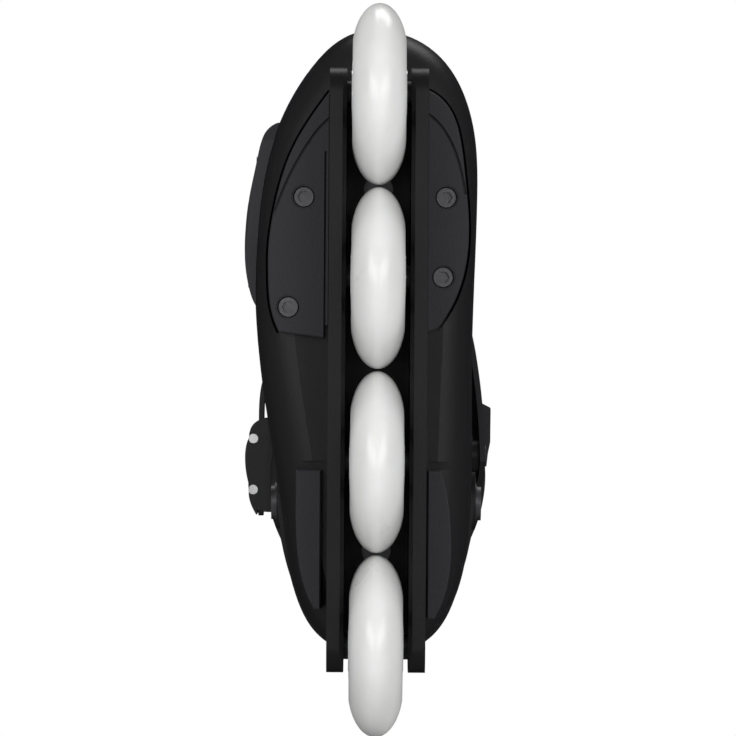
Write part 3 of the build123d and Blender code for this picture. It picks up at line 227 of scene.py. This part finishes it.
floor_half = 6.0
floor_mesh = bpy.data.meshes.new("studio_floor")
floor_form = bmesh.new()
bmesh.ops.create_grid(floor_form, x_segments=1, y_segments=1, size=floor_half)
floor_form.to_mesh(floor_mesh)
floor_form.free()
studio_floor = bpy.data.objects.new("studio_floor", floor_mesh)
scene.collection.objects.link(studio_floor)
one_sided = Recipe("studio_floor_white")
solid_side = one_sided.node("ShaderNodeBsdfDiffuse", None, {"Color": (0.86, 0.86, 0.86)})
open_side = one_sided.node("ShaderNodeBsdfTransparent")
white_side = one_sided.node("ShaderNodeEmission", None, {"Color": (1.0, 1.0, 1.0), "Strength": 1.0})
quarter_size = one_sided.place((0.25, 0.25, 0.25))
from_middle = one_sided.node("ShaderNodeVectorMath", {"operation": "LENGTH"}, {0: quarter_size}, "Value")
far_off = one_sided.ramp(from_middle, (0.10, 0.0), (0.40, 1.0))
upper_side = one_sided.node("ShaderNodeMixShader", None, {0: far_off, 1: solid_side, 2: white_side})
back_side = one_sided.node("ShaderNodeNewGeometry", output="Backfacing")
floor_face = one_sided.node("ShaderNodeMixShader", None, {0: back_side, 1: upper_side, 2: open_side})
one_sided.tree.links.new(floor_face.socket, one_sided.out.inputs["Surface"])
floor_mesh.materials.append(one_sided.material)
studio_floor.visible_diffuse = False
studio_floor.visible_glossy = False
studio_floor.visible_transmission = False
studio_floor.visible_shadow = False

# ----------------------------------------------------------------------------------------------------
# Wheels: one cast urethane tyre on each white moulded hub. Urethane is milky and slightly clear, polished
# by use on the tread, with a faint mould line round its widest part.
urethane = Recipe("cast_urethane")
cloud = urethane.noise(30.0, 3.0)
speck = urethane.noise(420.0, 2.0)
milky = urethane.ramp(cloud, (0.35, (0.80, 0.805, 0.79)), (0.7, (0.88, 0.885, 0.875)))
urethane_grain = urethane.bump(speck, 0.08, 0.0004)
tyre_finish = urethane.done(
    Base_Color=milky,
    Roughness=0.24 + 0.1 * cloud,
    Normal=urethane_grain,
    Subsurface_Weight=0.35,
    Subsurface_Radius=(0.006, 0.006, 0.005),
    Subsurface_Scale=1.0,
    Coat_Weight=0.35,
    Coat_Roughness=0.12,
)
moulded_hub = Recipe("white_hub_plastic")
hub_grain = moulded_hub.noise(260.0, 3.0)
hub_finish = moulded_hub.done(
    Base_Color=moulded_hub.ramp(
        moulded_hub.noise(14.0),
        (0.3, (0.74, 0.74, 0.73)),
        (0.7, (0.80, 0.80, 0.79)),
    ),
    Roughness=0.32 + 0.12 * hub_grain,
    Normal=moulded_hub.bump(hub_grain, 0.15, 0.0003),
)
wheel_names = [f"wheel_{i}" for i in range(1, 5)]
for wheel in wheel_names:
    paint(tyre_finish, f"{wheel}_tyre")
    paint(hub_finish, f"{wheel}_hub")

# ----------------------------------------------------------------------------------------------------
# Bearings, axles, screws and rivets: ground races and balls, pressed shields, turned spacers and zinc-
# plated fasteners with fine turning lines.


def metal(name, tone, roughness, line_scale, line_depth):
    """Bare or plated steel, with turning lines round X and a little tarnish."""
    mix = Recipe(name)
    lines = mix.noise(line_scale, 2.0, where=mix.place(stretch=(14.0, 1.0, 1.0)))
    tarnish = mix.noise(90.0, 5.0, 0.6)
    darker = tuple(0.72 * part for part in tone)
    return mix.done(
        Base_Color=mix.ramp(tarnish, (0.36, darker), (0.6, tone)),
        Metallic=1.0,
        Roughness=roughness + 0.16 * tarnish,
        Normal=mix.bump(lines, line_depth, 0.0002),
    )


ground_steel = metal("ground_bearing_steel", (0.78, 0.78, 0.79), 0.10, 300.0, 0.05)
pressed_steel = metal("pressed_shield_steel", (0.62, 0.62, 0.63), 0.26, 260.0, 0.10)
plated_steel = metal("zinc_plated_steel", (0.66, 0.66, 0.665), 0.22, 420.0, 0.14)
dark_steel = metal("blackened_steel", (0.10, 0.10, 0.105), 0.34, 420.0, 0.14)
turned_alloy = metal("turned_spacer_alloy", (0.80, 0.80, 0.81), 0.24, 500.0, 0.20)
for wheel in wheel_names:
    paint(ground_steel, f"{wheel}_bearing_outer_races", f"{wheel}_bearing_balls")
    paint(pressed_steel, f"{wheel}_bearing_shields")
paint(ground_steel, "bearing_inner_races")
paint(turned_alloy, "bearing_spacers")
paint(plated_steel, "axle_bolts", "axle_screws", "cuff_pivot_nuts", "instep_buckle_pins", "cuff_buckle_pins")
paint(dark_steel, "sole_plate_screws", "sole_bolts", "lateral_guard_rivets", "vamp_cover_screws")
paint(dark_steel, "cuff_pivot_bolts")
paint(dark_steel, "cuff_pivot_washers", "instep_strap_rivet", "cuff_strap_rivet")
paint(dark_steel, "instep_buckle_rivet", "cuff_buckle_rivet")

# ----------------------------------------------------------------------------------------------------
# Boot shell and cuff: black satin mouldings with a fine spark-eroded grain, slightly uneven in gloss, with
# light dust and hairline scuffs.


def moulded(name, tone, roughness, grain_scale, grain_depth, gloss_patch=0.12, ground_shade_tone=None):
    """Moulded plastic; grain_scale is in bumps to the metre. The optional tone for near the ground is painted
    shade.
    """
    mix = Recipe(name)
    grain = mix.noise(grain_scale, 3.0, 0.6)
    patch = mix.noise(9.0, 4.0, 0.55)
    scuff = mix.noise(55.0, 6.0, 0.7, where=mix.place(stretch=(6.0, 1.0, 3.0)))
    scuffed = mix.ramp(scuff, (0.60, 0.0), (0.74, 1.0))
    lighter = tuple(min(1.0, 1.7 * part + 0.006) for part in tone)
    patched = mix.ramp(patch, (0.3, tone), (0.75, tuple(1.22 * part for part in tone)))
    base = mix.blend(0.35 * scuffed, patched, lighter)
    # Painted shade: below 45 mm the base turns to the darker tone, fading back to the base by 75 mm.
    if ground_shade_tone:
        height = mix.node("ShaderNodeSeparateXYZ", None, {"Vector": mix.place()}, "Z")
        base = mix.blend(mix.ramp(height, (0.045, 0.0), (0.075, 1.0)), ground_shade_tone, base)
    return mix.done(
        Base_Color=base,
        Roughness=roughness + gloss_patch * patch + 0.08 * scuffed,
        Normal=mix.bump(grain, 0.35, grain_depth),
        Specular_IOR_Level=0.22,
    )


shell_black = (0.0075, 0.0075, 0.0085)
# The darker black is painted shade on the rails, the shell's lowest part, near the ground.
ground_shade_black = (0.002, 0.002, 0.0022)
shell_finish = moulded("black_shell_plastic", shell_black, 0.32, 1500.0, 0.00022, 0.12, ground_shade_black)
cuff_finish = moulded("black_cuff_plastic", (0.010, 0.010, 0.011), 0.38, 1300.0, 0.00025)
paint(shell_finish, "shell_frame")
paint(cuff_finish, "cuff")

# ----------------------------------------------------------------------------------------------------
# Sole plates, guard and vamp cover: charcoal mouldings, lighter and rougher than the shell, with a coarser
# grain and faint scuffs.
plate_finish = moulded("charcoal_plate_plastic", (0.0265, 0.0265, 0.030), 0.42, 900.0, 0.00035, 0.16)
paint(plate_finish, "sole_plate_front_outer", "sole_plate_front_inner")
paint(plate_finish, "sole_plate_rear_outer", "sole_plate_rear_inner")
paint(plate_finish, "lateral_guard", "vamp_cover")

# ----------------------------------------------------------------------------------------------------
# Straps and buckles: flexible ladder straps and glossy black buckle parts.
strap_finish = moulded("black_strap_plastic", (0.014, 0.014, 0.016), 0.40, 1100.0, 0.00025)
buckle_finish = moulded("gloss_buckle_plastic", (0.012, 0.012, 0.013), 0.20, 1600.0, 0.00012, 0.08)
paint(strap_finish, "instep_strap", "cuff_strap")
for buckle in ("instep", "cuff"):
    paint(buckle_finish, f"{buckle}_buckle_base", f"{buckle}_buckle_lever", f"{buckle}_buckle_release")

# ----------------------------------------------------------------------------------------------------
# Footbed: a moulded board bolted through the bay roof, with a foam rubber pad under the heel.
board_finish = moulded("grey_board_plastic", (0.14, 0.14, 0.15), 0.5, 700.0, 0.0003)
rubber_finish = moulded("grey_foam_rubber", (0.18, 0.18, 0.19), 0.7, 500.0, 0.0006)
paint(board_finish, "footbed_board")
paint(rubber_finish, "heel_pad")

# ----------------------------------------------------------------------------------------------------
# Liner padding: each padded part is stitched foam under a stretch fabric. It starts as the CAD solid, is
# remeshed into an even skin and puffed by a short cloth simulation, and then its sewn channels are drawn
# in.


def skin_of(node_name, piece_name, cell):
    """An even quad skin over a CAD node, as a new object at the origin."""
    source = nodes[node_name]
    mesh = source.data.copy()
    mesh.transform(source.matrix_world)
    mesh.materials.clear()
    merged = bmesh.new()
    merged.from_mesh(mesh)
    bmesh.ops.remove_doubles(merged, verts=merged.verts, dist=0.0001)
    merged.to_mesh(mesh)
    merged.free()
    mesh.name = piece_name
    piece = bpy.data.objects.new(piece_name, mesh)
    scene.collection.objects.link(piece)
    remesh = piece.modifiers.new("even_skin", "REMESH")
    remesh.mode = "VOXEL"
    remesh.voxel_size = cell
    remesh.adaptivity = 0.0
    bake(piece)
    return piece


def bake(piece):
    """Turns a piece's modifiers into its mesh."""
    bpy.context.view_layer.update()
    graph = bpy.context.evaluated_depsgraph_get()
    shaped = bpy.data.meshes.new_from_object(piece.evaluated_get(graph))
    piece.modifiers.clear()
    old = piece.data
    piece.data = shaped
    shaped.name = piece.name
    bpy.data.meshes.remove(old)


def hold(vertex, home, most):
    """Brings a point back to within most of its home."""
    gone = vertex.co - home
    if gone.length > most:
        vertex.co = home + gone * (most / gone.length)


def puff(piece, pressure, most):
    """A short cloth simulation under pressure. No point ends further than most from where it began."""
    last_step = 20
    start = [vertex.co.copy() for vertex in piece.data.vertices]
    cloth = piece.modifiers.new("puff", "CLOTH")
    settings = cloth.settings
    settings.quality = 4
    settings.mass = 0.15
    settings.tension_stiffness = 12.0
    settings.compression_stiffness = 12.0
    settings.bending_stiffness = 0.6
    settings.use_pressure = True
    settings.uniform_pressure_force = pressure
    settings.effector_weights.gravity = 0.0
    cloth.point_cache.frame_start = 1
    cloth.point_cache.frame_end = last_step
    for step in range(1, last_step + 1):
        scene.frame_set(step)
    bake(piece)
    scene.frame_set(1)
    for vertex, home in zip(piece.data.vertices, start):
        hold(vertex, home, most)


def smooth(piece, passes):
    """Relaxes a skin toward its neighbours."""
    form = bmesh.new()
    form.from_mesh(piece.data)
    axes = {"use_axis_x": True, "use_axis_y": True, "use_axis_z": True}
    for _ in range(passes):
        bmesh.ops.smooth_vert(form, verts=form.verts, factor=0.5, **axes)
    form.to_mesh(piece.data)
    form.free()


def move_points(piece, shift):
    """Moves every point by shift(place, normal), a vector."""
    normals = [normal.vector.copy() for normal in piece.data.vertex_normals]
    moved = [vertex.co + shift(vertex.co, normal) for vertex, normal in zip(piece.data.vertices, normals)]
    for vertex, place in zip(piece.data.vertices, moved):
        vertex.co = place


def shade(piece):
    for face in piece.data.polygons:
        face.use_smooth = True


def dip(distance, half_width):
    """1 in the middle of a sewn line and 0 past its half width."""
    share = min(1.0, abs(distance) / half_width)
    return (1.0 - share * share) ** 2


leg_middle_y = 0.042


def pad_caps(place, normal):
    """How far a point may puff: hardly at all against the hard parts and beside the tongue's gap."""
    outward = normal.x * place.x + normal.y * (place.y - leg_middle_y)
    beside_gap = 0.014 < abs(place.x) < 0.026 and place.y < 0.026
    covered = place.z < 0.318
    if beside_gap or (covered and outward > 0):
        return 0.0002
    return 0.0030


def calm(piece, start, reach):
    """Holds each point within the reach(place, normal) of where it was before the puff."""
    normals = [normal.vector.copy() for normal in piece.data.vertex_normals]
    for vertex, home, normal in zip(piece.data.vertices, start, normals):
        hold(vertex, home, reach(home, normal))


def sewn_pad(node_name, piece_name, cell, passes, reach, channels, body):
    """A pad in place of a CAD solid: skinned, relaxed, puffed, sewn, subdivided and hung on its body."""
    pad = skin_of(node_name, piece_name, cell)
    smooth(pad, passes)
    start = [vertex.co.copy() for vertex in pad.data.vertices]
    puff(pad, 4.0, 0.004)
    calm(pad, start, reach)
    move_points(pad, channels)
    fine = pad.modifiers.new("fine", "SUBSURF")
    fine.levels = 1
    fine.render_levels = 1
    shade(pad)
    paint(knit_finish, piece_name)
    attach(pad, body)
    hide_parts(node_name)


liner_fabric = Recipe("black_liner_mesh_fabric")
knit = liner_fabric.node(
    "ShaderNodeTexVoronoi",
    {"feature": "DISTANCE_TO_EDGE"},
    {"Vector": liner_fabric.place(), "Scale": 420.0},
    "Distance",
)
knit_wear = liner_fabric.noise(16.0, 5.0, 0.6)
knit_fuzz = liner_fabric.noise(1900.0, 3.0, 0.7)
knit_open = liner_fabric.ramp(knit, (0.02, 1.0), (0.22, 0.0))
knit_dark = liner_fabric.ramp(knit_wear, (0.3, (0.022, 0.022, 0.024)), (0.7, (0.034, 0.034, 0.037)))
knit_tone = liner_fabric.blend(0.45 * knit_open, knit_dark, (0.060, 0.060, 0.064))
knit_finish = liner_fabric.done(
    Base_Color=knit_tone,
    Roughness=0.82 + 0.12 * knit_fuzz,
    Normal=liner_fabric.bump(knit_fuzz, 0.2, 0.0002, over=liner_fabric.bump(knit_open, 0.55, 0.0006)),
    Specular_IOR_Level=0.3,
    Sheen_Weight=0.25,
    Sheen_Roughness=0.5,
)
stretch_fabric = Recipe("black_stretch_fabric")
rib_line = stretch_fabric.node(
    "ShaderNodeTexWave",
    {"wave_type": "BANDS", "bands_direction": "Z"},
    {"Vector": stretch_fabric.place(), "Scale": 190.0, "Distortion": 0.6},
)
stretch_fuzz = stretch_fabric.noise(1500.0, 3.0, 0.7)
stretch_finish = stretch_fabric.done(
    Base_Color=stretch_fabric.ramp(stretch_fuzz, (0.3, (0.016, 0.016, 0.018)), (0.7, (0.030, 0.030, 0.032))),
    Roughness=0.78 + 0.15 * stretch_fuzz,
    Normal=stretch_fabric.bump(rib_line, 0.4, 0.0004),
    Sheen_Weight=0.3,
)

# The foot part: a rim seam a finger's width under its edge, and two sewn channels along each side.


def foot_caps(place, normal):
    middle_y = max(-0.09, min(0.08, place.y))
    outward = normal.x * place.x + normal.y * (place.y - middle_y) + 0.4 * normal.z * (place.z - 0.12)
    return 0.0002 if outward > 0 or normal.z < -0.5 or place.z < 0.108 else 0.0022


def foot_channels(place, normal):
    rim_z = 0.1905 - 0.16 * max(0.0, place.y - 0.06) * 2.2 + 0.25 * max(0.0, -0.02 - place.y)
    inside = 1.0 if normal.x * place.x < 0 else 0.15
    depth = 0.0014 * dip(place.z - (rim_z - 0.014), 0.0035)
    for line_z in (0.135, 0.155):
        depth = max(depth, 0.0010 * inside * dip(place.z - line_z, 0.003))
    return normal * -depth


sewn_pad("liner_foot", "foot_padding", 0.0030, 2, foot_caps, foot_channels, "boot")

# The collar: fuller at its top rim, with a rim seam, upright channels round the leg and flex ribs over the
# tendon.


def collar_channels(place, normal):
    rim_z = 0.320 + 0.14 * place.y
    around = math.degrees(math.atan2(place.x, place.y - leg_middle_y))
    depth = 0.0020 * dip(place.z - (rim_z - 0.017), 0.004)
    inward = normal.x * place.x + normal.y * (place.y - leg_middle_y) < 0
    if inward and place.z < rim_z - 0.017:
        for angle in (-125.0, -75.0, -30.0, 30.0, 75.0, 125.0):
            depth = max(depth, 0.0018 * dip((around - angle) * 0.0006, 0.0035))
        if abs(around) < 30.0:
            for step in range(4):
                depth = max(depth, 0.0018 * dip(place.z - (0.235 + 0.022 * step), 0.0045))
    return normal * -depth


sewn_pad("liner_collar", "collar_padding", 0.0036, 3, pad_caps, collar_channels, "cuff")

# The tongue: two upright channels and cross ribs, with a seam under its rounded top.


def tongue_channels(place, normal):
    depth = 0.0018 * dip(place.z - 0.331, 0.004)
    if place.z < 0.331:
        depth = max(depth, 0.0014 * dip(abs(place.x) - 0.0085, 0.003))
        for step in range(4):
            depth = max(depth, 0.0012 * dip(place.z - (0.240 + 0.022 * step), 0.0035))
    return normal * -depth


sewn_pad("liner_tongue", "tongue_padding", 0.0032, 3, pad_caps, tongue_channels, "cuff")

# ----------------------------------------------------------------------------------------------------
# Stretch gusset: a thin ribbed sleeve between the foot part's rim and the collar's lower edge. On the skate it
# stretches as the cuff flexes; here it is built once, in place. Both its edges are sewn into the padding.
gusset_turns = 96
gusset_rows = 15
gusset_half_thickness = 0.0005


def gusset_point(turn, rise, offset):
    """A point of the sleeve: turn goes round the leg, rise from the foot part to the collar."""
    across = math.cos(turn)
    along = math.sin(turn)
    pleat = 0.0006 * math.cos(6.0 * math.pi * rise)
    half_x = 0.0292 + 0.0060 * rise + pleat + offset
    low_y = -0.0265 + 0.0085 * rise
    high_y = 0.1100 + 0.0040 * rise
    half_y = (high_y - low_y) / 2 + pleat + offset
    y = (low_y + high_y) / 2 + half_y * math.copysign(abs(along) ** 0.92, along)
    x = half_x * math.copysign(abs(across) ** 0.80, across)
    foot_z = 0.1850 - 0.28 * max(0.0, y - 0.055) + 0.20 * max(0.0, -0.015 - y)
    collar_z = 0.2115 - 0.42 * (y - 0.020) if y < 0.020 else 0.2115 - 0.17 * (y - 0.020)
    return Vector((x, y, foot_z + (collar_z - foot_z) * rise))


gusset_form = bmesh.new()
gusset_rings = []
rises = [row / (gusset_rows - 1) for row in range(gusset_rows)]
outside = [(rise, gusset_half_thickness) for rise in rises]
inside = [(rise, -gusset_half_thickness) for rise in reversed(rises)]
for rise, offset in outside + inside:
    turns = [2 * math.pi * i / gusset_turns for i in range(gusset_turns)]
    gusset_rings.append([gusset_form.verts.new(gusset_point(turn, rise, offset)) for turn in turns])
for low, high in zip(gusset_rings, gusset_rings[1:] + gusset_rings[:1]):
    for i in range(gusset_turns):
        j = (i + 1) % gusset_turns
        gusset_form.faces.new((low[i], low[j], high[j], high[i]))
bmesh.ops.recalc_face_normals(gusset_form, faces=gusset_form.faces)
gusset_mesh = bpy.data.meshes.new("stretch_gusset")
gusset_form.to_mesh(gusset_mesh)
gusset_form.free()
stretch_gusset = bpy.data.objects.new("stretch_gusset", gusset_mesh)
scene.collection.objects.link(stretch_gusset)
shade(stretch_gusset)
paint(stretch_finish, "stretch_gusset")
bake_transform(stretch_gusset)

# ----------------------------------------------------------------------------------------------------
# Insole: a thin foam footbed with rounded edges, a cupped heel and a raised arch on the inner side.
foot_insole = skin_of("insole", "foot_insole", 0.0012)
smooth(foot_insole, 3)


def insole_crown(place, normal):
    if normal.z < 0.3:
        return Vector((0.0, 0.0, 0.0))
    heel = math.exp(-(((place.y - 0.085) / 0.028) ** 2) - (place.x / 0.018) ** 2)
    arch = math.exp(-(((place.y - 0.022) / 0.040) ** 2)) * max(0.0, place.x / 0.022)
    return Vector((0.0, 0.0, 0.0010 * arch - 0.0009 * heel))


move_points(foot_insole, insole_crown)
insole_fabric = Recipe("grey_insole_fabric")
insole_weave = insole_fabric.node(
    "ShaderNodeTexVoronoi",
    None,
    {"Vector": insole_fabric.place(), "Scale": 700.0},
    "Distance",
)
insole_wear = insole_fabric.noise(20.0, 5.0, 0.6)
insole_finish = insole_fabric.done(
    Base_Color=insole_fabric.ramp(insole_wear, (0.3, (0.085, 0.085, 0.09)), (0.7, (0.12, 0.12, 0.125))),
    Roughness=0.85 + 0.1 * insole_weave,
    Normal=insole_fabric.bump(insole_weave, 0.4, 0.0004),
)
shade(foot_insole)
paint(insole_finish, "foot_insole")
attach(foot_insole, "boot")
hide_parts("insole")

# ----------------------------------------------------------------------------------------------------
# Pull loop: a folded strip of webbing at the back of the collar, with crossed ribs in its weave.
pull_loop = skin_of("liner_pull_loop", "pull_loop", 0.0007)
smooth(pull_loop, 4)
webbing = Recipe("black_webbing")
webbing_rib = webbing.node(
    "ShaderNodeTexWave",
    {"wave_type": "BANDS", "bands_direction": "X"},
    {"Vector": webbing.place(), "Scale": 240.0},
)
webbing_pick = webbing.node(
    "ShaderNodeTexWave",
    {"wave_type": "BANDS", "bands_direction": "Z"},
    {"Vector": webbing.place(turn=(0.0, 0.6, 0.0)), "Scale": 420.0},
)
webbing_height = webbing_rib * webbing_pick
# Painted shade: the webbing's colour follows the weave's height, darker in its hollows and lighter on its
# crests.
webbing_finish = webbing.done(
    Base_Color=webbing.blend(webbing_height, (0.016, 0.016, 0.017), (0.055, 0.055, 0.058)),
    Roughness=0.7 + 0.2 * webbing.noise(900.0),
    Normal=webbing.bump(webbing_height, 0.6, 0.0005),
)
shade(pull_loop)
paint(webbing_finish, "pull_loop")
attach(pull_loop, "cuff")
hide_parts("liner_pull_loop")
